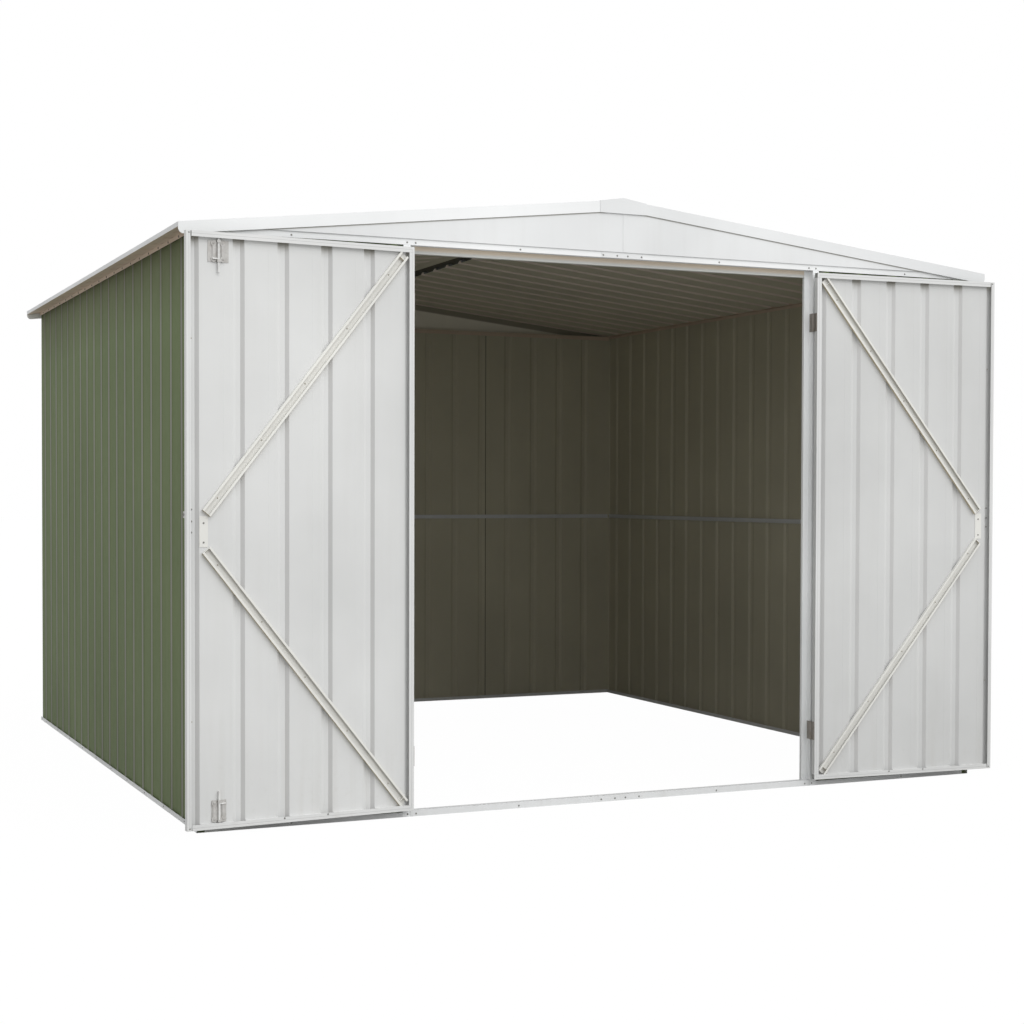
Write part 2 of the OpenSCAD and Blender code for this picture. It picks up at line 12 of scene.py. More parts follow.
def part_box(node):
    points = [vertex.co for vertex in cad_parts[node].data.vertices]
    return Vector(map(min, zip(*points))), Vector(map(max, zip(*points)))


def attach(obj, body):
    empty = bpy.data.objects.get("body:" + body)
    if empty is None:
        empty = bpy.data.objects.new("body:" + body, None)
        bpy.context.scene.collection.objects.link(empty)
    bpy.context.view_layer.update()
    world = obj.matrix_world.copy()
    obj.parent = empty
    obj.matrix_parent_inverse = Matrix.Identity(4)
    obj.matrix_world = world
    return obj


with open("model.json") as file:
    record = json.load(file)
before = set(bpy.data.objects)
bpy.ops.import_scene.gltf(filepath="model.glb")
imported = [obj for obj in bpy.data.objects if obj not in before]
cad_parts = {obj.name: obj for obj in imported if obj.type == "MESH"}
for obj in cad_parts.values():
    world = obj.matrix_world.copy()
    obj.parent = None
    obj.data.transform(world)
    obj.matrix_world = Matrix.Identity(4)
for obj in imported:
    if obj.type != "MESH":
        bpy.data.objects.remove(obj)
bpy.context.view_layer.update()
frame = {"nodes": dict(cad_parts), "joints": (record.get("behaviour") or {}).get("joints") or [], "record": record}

LEFTWARD, RIGHTWARD = Vector((-1, 0, 0)), Vector((1, 0, 0))
FRONT, BACK, UP = Vector((0, -1, 0)), Vector((0, 1, 0)), Vector((0, 0, 1))

# Sheet, in metres
FOLD_T = 0.001
SHEET_T = 0.0008
SEAT = 0.0003
RIBS = 20
RIB_PITCH = 0.1485
RIB_FOOT = 0.041

# Shed
WALL_TOP = 1.906
STRIP_FOOT = 1.886
PITCH = math.radians(6.4)
FRONT_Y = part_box("header")[0].y
BACK_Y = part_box("top_channel_back")[1].y
SIDE_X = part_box("base_right")[1].x
MID_Y = (FRONT_Y + BACK_Y) / 2
ROOF_Z = WALL_TOP + SEAT + SIDE_X * math.tan(PITCH)
ROOF_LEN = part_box("right_eave")[1].x / math.cos(PITCH)
FIRST_RIB_Y = FRONT_Y + FOLD_T + SEAT + RIB_PITCH / 2
PANEL_W = 5 * RIB_PITCH
LAP_IN = RIB_FOOT / 2 + 0.004
BACK_JOINTS = [LAP_IN + i * PANEL_W for i in (-1, 0, 1)]
SIDE_JOINTS = [FIRST_RIB_Y + 15 * RIB_PITCH - LAP_IN - i * PANEL_W for i in range(3)]

# Doors: distances u along from the hinge edge, v in through the thickness and z over the ground
HINGE_GAP = 0.006
PIN_OUT = 0.0055
DOOR_T = 0.020
DOOR_W = 0.775
DOOR_FOOT = 0.026
DOOR_TOP = 1.875
STILE_FLANGE = 0.018
CHANNEL_FOOT = DOOR_FOOT + STILE_FLANGE
CHANNEL_TOP = DOOR_TOP - STILE_FLANGE
GROOVES = 6
EDGE_TO_GROOVE = 0.024
GROOVE_V = FOLD_T + SEAT + SHEET_T
PAN_V = 0.0081
ROD_U = DOOR_W - 0.106

# Colours, as linear red, green and blue
GREEN = (0.131, 0.171, 0.076)
# Painted highlight on the front flank of each rib of the side walls
GREEN_HIGHLIGHT = (0.275, 0.277, 0.24)
# Painted highlight on the rib flanks of the end walls
GREEN_FLANK_HIGHLIGHT = (0.20, 0.22, 0.15)
# Painted shade under the eaves
EAVE_SHADE = (0.06, 0.048, 0.02)
WHITE = (0.775, 0.785, 0.79)
# A lit copy of the white trim: lighter, painted light on the barges and header
LIT_EDGE_WHITE = (0.87, 0.88, 0.885)
# A shaded copy of the white trim for the roof and ridge cap: darker, so that their lit tops stay below white
SHADED_ROOF_WHITE = (0.66, 0.67, 0.67)
# A lit copy of the white trim, near full white: painted light on the jambs, which their reveals shade
LIT_JAMB_WHITE = (0.93, 0.945, 0.95)
# Lit and shaded copies of the doors' inner white: the left door lighter and the right door darker, painted light
# standing in for how light falls on them
LEFT_DOOR_LIT_WHITE = (0.69, 0.695, 0.69)
# Painted shade on the groove flanks of the left door
LEFT_FLANK_SHADE = (0.56, 0.56, 0.555)
RIGHT_DOOR_SHADED_WHITE = (0.65, 0.655, 0.65)
# Painted shade on the groove flanks of the right door
RIGHT_FLANK_SHADE = (0.62, 0.62, 0.615)
FRAME_WHITE = (0.715, 0.72, 0.715)
BRACE_WHITE = (0.775, 0.77, 0.735)
# Painted shade on the downward faces of the braces
BRACE_SHADE = (0.60, 0.52, 0.37)
# Painted shade on the door stop: a darker white, and beige under the header
STOP_SHADED_WHITE = (0.65, 0.655, 0.63)
STOP_SHADE_BEIGE = (0.81, 0.70, 0.57)
CREAM = (0.60, 0.57, 0.45)
# Painted highlight on the rib flanks under the roof
ROOF_FLANK_HIGHLIGHT = (0.74, 0.64, 0.57)
# A lit copy of the cream inside, far paler: painted light on the inside of the back gable
LIT_GABLE_CREAM = (0.92, 0.88, 0.78)
BEIGE = (0.67, 0.55, 0.445)
# Dark colour for the joints of the back wall, and for painted shade in its corners and under the ridge cap
JOINT_DARK_AND_SHADE = (0.07, 0.065, 0.04)
ZINC = (0.48, 0.47, 0.455)
ROD_ZINC = (0.71, 0.71, 0.70)
HINGE_GREY = (0.26, 0.235, 0.21)
RIVET_GREY = (0.22, 0.22, 0.21)
PIN_GREY = (0.40, 0.37, 0.31)
SCREW_GREY = (0.09, 0.085, 0.07)
CRYSTAL_GREY = (0.25, 0.25, 0.24)
TARNISH = (0.17, 0.14, 0.105)
DUST = (0.30, 0.27, 0.21)
# Brown of the painted shadows under the barges and under the doors' top channels
SHADOW_BROWN = (0.17, 0.15, 0.095)
BLACK = (0.0, 0.0, 0.0)
PAPER = (1.0, 1.0, 1.0)
FLOOR_BOUNCE = (0.42, 0.42, 0.41)
FLOOR_PALE = (0.9, 0.9, 0.9)


class Value:
    """A shader socket that can be used in sums: each operator or method adds a Math node."""

    def __init__(self, nodes, socket):
        self.nodes = nodes
        self.socket = socket

    def math(self, operation, first, second=0.0):
        return self.nodes.node("ShaderNodeMath", {"operation": operation}, {0: first, 1: second})

    def __add__(self, other):
        return self.math("ADD", self, other)

    def __sub__(self, other):
        return self.math("SUBTRACT", self, other)

    def __rsub__(self, other):
        return self.math("SUBTRACT", other, self)

    def __mul__(self, other):
        return self.math("MULTIPLY", self, other)

    def __gt__(self, other):
        return self.math("GREATER_THAN", self, other)

    def __lt__(self, other):
        return self.math("LESS_THAN", self, other)

    __radd__ = __add__
    __rmul__ = __mul__

    def absolute(self):
        return self.math("ABSOLUTE", self)

    def fraction(self):
        return self.math("FRACT", self)

    def at_least(self, other):
        return self.math("MAXIMUM", self, other)

    def at_most(self, other):
        return self.math("MINIMUM", self, other)


class Nodes:
    """The nodes of a material or of the world."""

    def __init__(self, tree):
        self.tree = tree

    def link(self, node, key, value):
        if isinstance(value, Value):
            self.tree.links.new(value.socket, node.inputs[key])
        elif node.inputs[key].type == "RGBA":
            node.inputs[key].default_value = (*value, 1.0)
        else:
            node.inputs[key].default_value = value

    def node(self, kind, settings=None, sockets=None, out=0):
        node = self.tree.nodes.new(kind)
        for key, value in (settings or {}).items():
            if key == "stops":
                for stop, (place, level) in zip(node.color_ramp.elements, value):
                    stop.position = place
                    stop.color = (level, level, level, 1.0)
            else:
                setattr(node, key, value)
        for key, value in (sockets or {}).items():
            self.link(node, key, value)
        return Value(self, node.outputs[out])

    def seen_plainly(self):
        """1 where the camera, a reflection or glass shows a surface, and 0 where it only throws light."""
        camera, glossy, glass = (self.node("ShaderNodeLightPath", out=ray) for ray in
                                 ("Is Camera Ray", "Is Glossy Ray", "Is Transmission Ray"))
        return camera.at_least(glossy.at_least(glass))


class Finish(Nodes):
    """A material in the making: its nodes, and the shader that they feed."""

    def __init__(self, name):
        self.material = bpy.data.materials.new(name)
        self.material.use_nodes = True
        super().__init__(self.material.node_tree)
        self.shader = self.tree.nodes["Principled BSDF"]

    def place(self, stretch=(1.0, 1.0, 1.0)):
        """Object coordinates, scaled along each axis."""
        spot = self.node("ShaderNodeTexCoord", out="Object")
        return self.node("ShaderNodeMapping", None, {"Vector": spot, "Scale": stretch})

    def noise(self, scale, detail=2.0, stretch=(1.0, 1.0, 1.0)):
        sockets = {"Vector": self.place(stretch), "Scale": scale, "Detail": detail}
        return self.node("ShaderNodeTexNoise", None, sockets, out="Fac")

    def rough(self, base, spread, scale):
        """Roughness that varies from a base, in patches of some scale."""
        return base + spread * self.noise(scale, 3.0)

    def ramp(self, value, low, high):
        """0 below low and 1 above high, with a straight rise between them."""
        settings = {"stops": ((low, 0.0), (high, 1.0))}
        return self.node("ShaderNodeValToRGB", settings, {"Fac": value})

    def rise(self, value, start, span):
        """0 up to a start, and 1 from a span beyond it; the start may lie outside a ramp's 0 to 1."""
        return self.ramp((value - start) * (1 / span), 0.0, 1.0)

    def mix(self, factor, first, second):
        """One colour over another; the Mix node has its factor and its two colours at these sockets."""
        return self.node("ShaderNodeMix", {"data_type": "RGBA"}, {0: factor, 6: first, 7: second}, out=2)

    def dot(self, kind, direction):
        vector = self.node("ShaderNodeTexCoord", out=kind)
        return self.node("ShaderNodeVectorMath", {"operation": "DOT_PRODUCT"},
                         {0: vector, 1: tuple(direction)}, out="Value")

    def facing(self, direction):
        """How far the surface faces a direction: 1 straight towards it, and -1 straight away."""
        return self.dot("Normal", direction)

    def reach(self, direction):
        """How far a place lies from the origin in a direction."""
        return self.dot("Object", direction)

    def bump(self, height, strength, distance):
        sockets = {"Height": height, "Strength": strength, "Distance": distance}
        return self.node("ShaderNodeBump", None, sockets)

    def set(self, **inputs):
        for key, value in inputs.items():
            self.link(self.shader, key.replace("_", " "), value)


def from_middle(finish):
    """How far a place lies to the left or right of the ridge."""
    return finish.reach(RIGHTWARD).absolute()


# Wear and painted shade: shares of a colour that is mixed into the paint
CLOUDS = 0.14
# Painted shade towards the ground: its share at the foot, and how much it falls per metre of height
LOW_SHADE_AT_FOOT, LOW_SHADE_FALL = 0.10, 0.048
SPLASH_H = 0.45
LOW_STREAKS, LOW_SPECKS = 0.08, 0.06
SHEET_STREAKS, TRIM_STREAKS = 0.04, 0.02
DOWNWARD_STRETCH = (3.0, 3.0, 0.18)
DENT_STRETCH = (1.0, 1.0, 0.55)


def weathered_and_shaded(finish, paint, streaks):
    """Paint that varies a little from place to place, with painted shade that darkens it towards the ground, and
    streaks of dust that gather near the ground.
    """
    cloud = finish.ramp(finish.noise(1.6, 4.0), 0.3, 0.75)
    # Painted shade: darker towards the ground
    low_shade = LOW_SHADE_AT_FOOT - LOW_SHADE_FALL * finish.reach(UP)
    varied_and_shaded = finish.mix(cloud * CLOUDS + low_shade, paint, BLACK)
    streak = finish.ramp(finish.noise(9.0, 5.0, DOWNWARD_STRETCH), 0.5, 0.78)
    low = 1.0 - finish.ramp(finish.reach(UP), 0.0, SPLASH_H)
    specks = finish.ramp(finish.noise(55.0, 3.0), 0.58, 0.72)
    dirt = streak * (streaks + low * LOW_STREAKS) + specks * low * LOW_SPECKS
    return finish.mix(dirt, varied_and_shaded, DUST)


def sheet_surface(finish):
    """The faint dents of thin sheet, and the grain of its coat."""
    dents = finish.noise(2.6, 1.0, DENT_STRETCH)
    grain = finish.noise(700.0, 1.0)
    return finish.bump(dents + grain * 0.02, 0.35, 0.004)


def painted(finish, paint):
    """A coat's colour: a coat is a colour, or a function that makes one from the finish."""
    return paint(finish) if callable(paint) else paint


TURNED_AWAY = -0.1


def two_sided(name, outward, outer, inner, painted_shadow=None):
    """Sheet with one coat on the side that faces outward and another on the side that faces in.

    A painted shadow may darken one place, as a function of the finish gives it."""
    finish = Finish(name)
    outer, inner = painted(finish, outer), painted(finish, inner)
    paint = finish.mix(finish.facing(outward) > TURNED_AWAY, inner, outer)
    paint = weathered_and_shaded(finish, paint, SHEET_STREAKS)
    if painted_shadow:
        # Painted shadow mixed into the paint
        paint = finish.mix(painted_shadow(finish), paint, SHADOW_BROWN)
    finish.set(Base_Color=paint, Normal=sheet_surface(finish), Roughness=finish.rough(0.56, 0.16, 30.0),
               Specular_IOR_Level=0.10)
    return finish.material


def painted_trim(name, paint):
    """Folded trim with one coat all over."""
    finish = Finish(name)
    paint = weathered_and_shaded(finish, painted(finish, paint), TRIM_STREAKS)
    finish.set(Base_Color=paint, Normal=sheet_surface(finish), Roughness=finish.rough(0.42, 0.16, 26.0),
               Specular_IOR_Level=0.25)
    return finish.material


def plated_metal(name, plating, dull, metallic=0.30):
    """Zinc plating with its mottled crystals and a little tarnish."""
    finish = Finish(name)
    cells = finish.node("ShaderNodeTexVoronoi", None, {"Vector": finish.place(), "Scale": 160.0}, out="Color")
    grey = finish.node("ShaderNodeRGBToBW", None, {"Color": cells})
    bright = finish.mix(grey * 0.30, plating, CRYSTAL_GREY)
    tarnish = finish.ramp(finish.noise(48.0, 4.0), 0.48, 0.74)
    finish.set(Base_Color=finish.mix(tarnish * dull, bright, TARNISH), Metallic=metallic,
               Roughness=finish.rough(0.42, 0.22, 90.0),
               Normal=finish.bump(finish.noise(260.0, 2.0), 0.15, 0.0006))
    return finish.material


# Coats of walls and roof. The painted highlight line of a rib is given in parts of the pitch
FLANK_TILT = 0.25
LINE_FROM, LINE_TO = 0.375, 0.43
# Painted shade under the eave: its height and its share
EAVE_SHADE_H, EAVE_SHADE_SHARE = 0.26, 0.5
EAVE_IN = 0.03
# Width of the painted shade in the corners, half width of a dark joint, and their share
CORNER_SHADE_W, JOINT_SEAM, SEAM_AND_SHADE_SHARE = 0.006, 0.0022, 0.75
# Painted shade under the ridge cap begins this far from the middle
CAP_OPEN = 0.044
# Painted shadow under the barges: how far below their edge it starts, its height and its share
GABLE_SHADOW_OUT, GABLE_SHADOW_H, GABLE_SHADOW_SHARE = 0.006, 0.00625, 0.75


def flank_light_and_shade(paint, flank, direction):
    """A coat with painted light on the flanks of the ribs that face one way: a lighter colour as a painted
    highlight, and a darker one as painted shade.
    """
    return lambda finish: finish.mix(finish.facing(direction) > FLANK_TILT, paint, flank)


def side_wall_coat(finish):
    """Green with a painted highlight along the front flank of each rib, and painted shade under the eave."""
    part = ((finish.reach(BACK) - FIRST_RIB_Y) * (1 / RIB_PITCH) + 0.5).fraction()
    # Painted highlight where the front flank of a rib catches the light
    highlighted = finish.mix((part > LINE_FROM) * (part < LINE_TO), GREEN, GREEN_HIGHLIGHT)
    # Painted shade towards the top of the wall, under the eave
    near = finish.rise(finish.reach(UP), WALL_TOP - EAVE_SHADE_H, EAVE_SHADE_H)
    return finish.mix(near * EAVE_SHADE_SHARE, highlighted, EAVE_SHADE)


def roof_inner_coat(finish):
    """Cream with a painted highlight on the flanks inside the walls, and beige under the eaves."""
    inside = flank_light_and_shade(CREAM, ROOF_FLANK_HIGHLIGHT, FRONT)(finish)
    return finish.mix(from_middle(finish) > SIDE_X - EAVE_IN, inside, BEIGE)


def back_inner_coat(finish):
    """Cream with dark seams at the joints of the panels, and painted shade in the corners."""
    across = finish.reach(RIGHTWARD)
    # Painted shade in the corners
    seams_and_shade = from_middle(finish) > SIDE_X - CORNER_SHADE_W
    for joint in BACK_JOINTS:
        seams_and_shade = seams_and_shade + ((across - joint).absolute() < JOINT_SEAM)
    return finish.mix(seams_and_shade * SEAM_AND_SHADE_SHARE, CREAM, JOINT_DARK_AND_SHADE)


def ridge_inner_coat(finish):
    """Painted shade: dark where the cap goes in over the edges of the roof sheets."""
    return finish.mix(from_middle(finish) > CAP_OPEN, CREAM, JOINT_DARK_AND_SHADE)


def shadow_under_barges(barge):
    """A painted shadow line on a gable, close under the lower edges of its barges."""
    node = frame["nodes"][barge]
    fall = Vector((math.sin(PITCH), 0, math.cos(PITCH)))
    places = (node.matrix_world @ v.co for v in node.data.vertices)
    edge = min(Vector((abs(p.x), 0, p.z)).dot(fall) for p in places)

    def spread(finish):
        level = from_middle(finish) * fall.x + finish.reach(UP) * fall.z
        return finish.rise(level, edge - GABLE_SHADOW_OUT, GABLE_SHADOW_H) * GABLE_SHADOW_SHARE
    return spread


# Coats of the doors and their stop
GROOVE_EDGE_V = PAN_V - 0.0009
# Painted shadow under the doors' top channels: its height and its share
CHANNEL_SHADOW_H, CHANNEL_SHADOW_SHARE = 0.042, 0.65
# Painted shade of a fold: a dark line between these insets from the door's edges, and its share
FOLD_FROM, FOLD_TO, FOLD_SHADE = 0.0078, 0.0092, 0.25
DOWNWARD_TILT = -0.3
STOP_SHADE_Z, STOP_SHADE_H = 1.868, 0.008


def shadow_under_channel(door):
    """Painted shadow in the grooves of a door's panel, close under its top channel."""
    def spread(finish):
        depth = finish.reach(door.through) - door.corner.dot(door.through)
        near = finish.rise(finish.reach(UP), CHANNEL_TOP - CHANNEL_SHADOW_H, CHANNEL_SHADOW_H)
        return (depth < GROOVE_EDGE_V) * near * near * CHANNEL_SHADOW_SHARE
    return spread


def frame_coat(door):
    """White with a painted dark line, the shade of a fine fold, along the flanges of a door's channels."""
    def paint(finish):
        u = finish.reach(door.along) - door.corner.dot(door.along)
        z = finish.reach(UP)
        inset = u.at_most(DOOR_W - u).at_most((z - DOOR_FOOT).at_most(DOOR_TOP - z))
        return finish.mix((inset > FOLD_FROM) * (inset < FOLD_TO) * FOLD_SHADE, FRAME_WHITE, BLACK)
    return paint


def brace_coat(finish):
    """White, with painted shade in brown on the faces that look down."""
    return finish.mix(finish.facing(UP) < DOWNWARD_TILT, BRACE_WHITE, BRACE_SHADE)


def stop_coat(finish):
    """Painted shade: beige where the header shades the door stop, and a darker white below."""
    return finish.mix(finish.rise(finish.reach(UP), STOP_SHADE_Z, STOP_SHADE_H), STOP_SHADED_WHITE, STOP_SHADE_BEIGE)


# A door or wall: a corner on its outer face, and the directions along it and in through its thickness
Panel = namedtuple("Panel", "corner along through")


def open_door(hinge, side):
    """A door as it stands open, with its corner at the hinge edge."""
    joint = next(j for j in frame["joints"] if j["name"] == hinge)
    angle = math.radians(joint["range_deg"][1])
    along = Vector((-side * math.cos(angle), -math.sin(angle), 0.0))
    through = Vector((-side * math.sin(angle), math.cos(angle), 0.0))
    corner = Vector(joint["pos_m"]) * Vector((1, 1, 0)) + along * (HINGE_GAP / 2) + through * PIN_OUT
    return Panel(corner, along, through)


def on_panel(panel, u, v, z):
    """A point on a door or wall, by its distance along it, in through it and over the ground."""
    return panel.corner + panel.along * u + panel.through * v + Vector((0, 0, z))


LEFT = open_door("left_door_hinge", -1)
RIGHT = open_door("right_door_hinge", 1)

# Materials of the CAD pieces
white_trim = painted_trim("white_trim", WHITE)
lit_edge_trim = painted_trim("lit_edge_trim", LIT_EDGE_WHITE)
lit_jamb_trim = painted_trim("lit_jamb_trim", LIT_JAMB_WHITE)
frame_trim = painted_trim("frame_trim", FRAME_WHITE)
left_frame_trim = painted_trim("left_frame_trim", frame_coat(LEFT))
right_frame_trim = painted_trim("right_frame_trim", frame_coat(RIGHT))
brace_trim = painted_trim("brace_trim", brace_coat)
stop_trim = painted_trim("stop_trim", stop_coat)
inside_trim = painted_trim("inside_trim", BEIGE)
zinc = plated_metal("zinc_plating", ZINC, 0.35)
rod_metal = plated_metal("rod_metal", ROD_ZINC, 0.15, metallic=0.0)
hinge_metal = plated_metal("hinge_metal", HINGE_GREY, 0.60)
rivet_metal = plated_metal("rivet_metal", RIVET_GREY, 0.35)
pin_metal = plated_metal("pin_metal", PIN_GREY, 0.35)
screw_metal = plated_metal("screw_metal", SCREW_GREY, 0.35)

# Painted highlight on the end walls' rib flanks, and painted shade on the flanks of the door grooves
end_wall_coat = flank_light_and_shade(GREEN, GREEN_FLANK_HIGHLIGHT, LEFTWARD)
left_inner_coat = flank_light_and_shade(LEFT_DOOR_LIT_WHITE, LEFT_FLANK_SHADE, LEFTWARD)
right_inner_coat = flank_light_and_shade(RIGHT_DOOR_SHADED_WHITE, RIGHT_FLANK_SHADE, LEFTWARD)
# Sheets: the direction of their outer side, outer coat, inner coat, and a painted shadow where one is given
SHEETS = {
    "left_wall": (LEFTWARD, side_wall_coat, CREAM), "right_wall": (RIGHTWARD, side_wall_coat, CREAM),
    "back_wall": (BACK, end_wall_coat, back_inner_coat),
    "front_left_wall": (FRONT, end_wall_coat, CREAM), "front_right_wall": (FRONT, end_wall_coat, CREAM),
    "left_roof": (UP, SHADED_ROOF_WHITE, roof_inner_coat), "right_roof": (UP, SHADED_ROOF_WHITE, roof_inner_coat),
    "front_gable": (FRONT, WHITE, CREAM, shadow_under_barges("front_barge_left")),
    "back_gable": (BACK, WHITE, LIT_GABLE_CREAM, shadow_under_barges("back_barge_left")),
    "ridge_cap": (UP, SHADED_ROOF_WHITE, ridge_inner_coat), "top_channel_back": (BACK, LIT_EDGE_WHITE, BEIGE),
    "left_eave": (UP + LEFTWARD, WHITE, BEIGE), "right_eave": (UP + RIGHTWARD, WHITE, BEIGE),
    "left_door_panel": (-LEFT.through, GREEN, left_inner_coat, shadow_under_channel(LEFT)),
    "right_door_panel": (-RIGHT.through, GREEN, right_inner_coat, shadow_under_channel(RIGHT)),
}
TRIMS = {
    "left_door_frame": left_frame_trim, "right_door_frame": right_frame_trim, "door_stop": stop_trim,
    "left_door_braces": brace_trim, "right_door_braces": brace_trim,
    # The left front barge has the lit copy of the white, and the right one the plain white
    "front_barge_left": lit_edge_trim, "front_barge_right": white_trim, "header": lit_edge_trim,
    "back_barge_left": lit_edge_trim, "back_barge_right": lit_edge_trim,
    "left_jamb": lit_jamb_trim, "right_jamb": lit_jamb_trim,
    "top_channel_left": inside_trim, "top_channel_right": inside_trim,
    "left_jamb_hinges": hinge_metal, "right_jamb_hinges": hinge_metal,
    "left_door_hinges": hinge_metal, "right_door_hinges": hinge_metal,
    "top_bolt": rod_metal, "bottom_bolt": rod_metal,
}
for part in frame["record"]["subparts"]:
    name = part["node"]
    if name in SHEETS:
        material = two_sided("sheet_" + name, *SHEETS[name])
    else:
        material = TRIMS.get(name, zinc if part["material_slot"] == "zinc_steel" else white_trim)
    slots = frame["nodes"][name].data.materials
    slots.clear()
    slots.append(material)


# New pieces
def as_mesh(name, bm):
    mesh = bpy.data.meshes.new(name)
    bm.to_mesh(mesh)
    bm.free()
    return mesh


def in_scene(name, data):
    thing = bpy.data.objects.new(name, data)
    bpy.context.scene.collection.objects.link(thing)
    return thing


def new_piece(name, body, bm, material):
    """A piece of the scene that rides on one of the bodies."""
    mesh = as_mesh(name, bm)
    mesh.materials.append(material)
    piece = in_scene(name, mesh)
    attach(piece, body)
    return piece


def turned(profile, steps):
    """A mesh turned round Z from points of radius and height."""
    bm = bmesh.new()
    points = [bm.verts.new((radius, 0.0, height)) for radius, height in profile]
    edges = [bm.edges.new(pair) for pair in zip(points, points[1:])]
    bmesh.ops.spin(bm, geom=points + edges, cent=(0, 0, 0), axis=(0, 0, 1), dvec=(0, 0, 0),
                   angle=math.tau, steps=steps, use_merge=True, use_duplicate=False)
    bmesh.ops.remove_doubles(bm, verts=bm.verts, dist=1e-6)
    bmesh.ops.recalc_face_normals(bm, faces=bm.faces)
    return as_mesh("turned", bm)


def pop_rivet(radius, height):
    """A domed head with the small pit that its pin leaves."""
    pit = 0.30 * radius
    return turned([(0.0, 0.5 * height), (pit, 0.5 * height), (1.25 * pit, 0.95 * height),
                   (0.62 * radius, height), (0.9 * radius, 0.62 * height), (radius, 0.0), (0.0, 0.0)], 10)


def washer_screw(radius, height):
    """A round head on a wide washer."""
    washer = 1.9 * radius
    return turned([(0.0, height), (0.8 * radius, height), (radius, 0.8 * height), (radius, 0.28 * height),
                   (washer, 0.2 * height), (washer, 0.0), (0.0, 0.0)], 12)


def fasten(name, body, shape, places, material):
    """Copies of one shape at places given as a point and the direction that its head faces."""
    bm = bmesh.new()
    for point, facing in places:
        first = len(bm.verts)
        bm.from_mesh(shape)
        bm.verts.ensure_lookup_table()
        turn = Vector(facing).to_track_quat("Z", "Y").to_matrix().to_4x4()
        bmesh.ops.transform(bm, matrix=Matrix.Translation(point) @ turn, verts=bm.verts[first:])
    new_piece(name, body, bm, material).data.shade_smooth()


def upright_prisms(name, body, panel, prisms, material):
    """Upright prisms on a door or wall, each given by its corners along and through it and its two heights."""
    bm = bmesh.new()
    for corners, low, high in prisms:
        foot = bm.faces.new([bm.verts.new(on_panel(panel, u, v, low)) for u, v in corners])
        grown = bmesh.ops.extrude_face_region(bm, geom=[foot])["geom"]
        head = [part for part in grown if isinstance(part, bmesh.types.BMVert)]
        bmesh.ops.translate(bm, verts=head, vec=(0, 0, high - low))
    bmesh.ops.recalc_face_normals(bm, faces=bm.faces)
    new_piece(name, body, bm, material)


def oblong(u_from, u_to, v_from, v_to):
    return [(u_from, v_from), (u_to, v_from), (u_to, v_to), (u_from, v_to)]


RIVET = pop_rivet(0.0032, 0.0014)
SMALL_RIVET = pop_rivet(0.0025, 0.0011)
FLAT_RIVET = pop_rivet(0.0028, 0.0005)
SCREW = pop_rivet(0.0040, 0.0018)
ROOF_SCREW = washer_screw(0.0042, 0.0042)

# Rivets along the header and the back channel, and through the join plates
STRIP_X = (0.388, 0.766, 0.796, 1.19)
JOIN_X = (0.0205, 0.0745)
STRIP_Z = STRIP_FOOT + 0.008
PLATE_OUT = SEAT + FOLD_T
strip_rivets = []
for y, out in ((FRONT_Y, FRONT), (BACK_Y, BACK)):
    for side in (-1, 1):
        strip_rivets += [(Vector((side * x, y, STRIP_Z)), out) for x in STRIP_X]
        strip_rivets += [(Vector((side * x, y, STRIP_Z)) + out * PLATE_OUT, out) for x in JOIN_X]
fasten("strip_rivets", "shed", RIVET, strip_rivets, rivet_metal)

# Rivets through the base channels and the sill, and screws through the top channels into every rib
BASE_RIVET_Z = 0.009
EAVE_SCREW_Z = WALL_TOP - 0.007
FRONT_X = (*JOIN_X, 0.388, 0.762, 0.792, 1.191)
wall_rivets = []
for i in range(RIBS // 2):
    along = (2 * i + 1 - RIBS / 2) * RIB_PITCH
    wall_rivets.append((Vector((along, BACK_Y, BASE_RIVET_Z)), BACK))
    for out in (LEFTWARD, RIGHTWARD):
        wall_rivets.append((out * SIDE_X + Vector((0, MID_Y + along, BASE_RIVET_Z)), out))
for x in FRONT_X:
    wall_rivets += [(Vector((side * x, FRONT_Y, BASE_RIVET_Z)), FRONT) for side in (-1, 1)]
fasten("wall_rivets", "shed", RIVET, wall_rivets, rivet_metal)
eave_screws = [(out * SIDE_X + Vector((0, FIRST_RIB_Y + i * RIB_PITCH, EAVE_SCREW_Z)), out)
               for out in (LEFTWARD, RIGHTWARD) for i in range(RIBS)]
fasten("eave_screws", "shed", SCREW, eave_screws, screw_metal)


def on_roof(side, down, out, y):
    """A point on a roof slope, by its distance down from the ridge and out from the sheet's underside."""
    x = down * math.cos(PITCH) + out * math.sin(PITCH)
    return Vector((side * x, y, ROOF_Z - down * math.sin(PITCH) + out * math.cos(PITCH)))


# Screws with washers through the eave channels and the ridge cap into the ribs of the roof
EAVE_DOWN, EAVE_OUT = ROOF_LEN - 0.012, 0.0121
RIDGE_DOWN, RIDGE_OUT = 0.096, 0.0181
roof_screws = []
for side in (-1, 1):
    facing = Vector((side * math.sin(PITCH), 0, math.cos(PITCH)))
    for i in range(1, RIBS):
        y = MID_Y + (i - RIBS / 2) * RIB_PITCH
        roof_screws += [(on_roof(side, EAVE_DOWN, EAVE_OUT, y), facing),
                        (on_roof(side, RIDGE_DOWN, RIDGE_OUT, y), facing)]
fasten("roof_screws", "shed", ROOF_SCREW, roof_screws, rivet_metal)

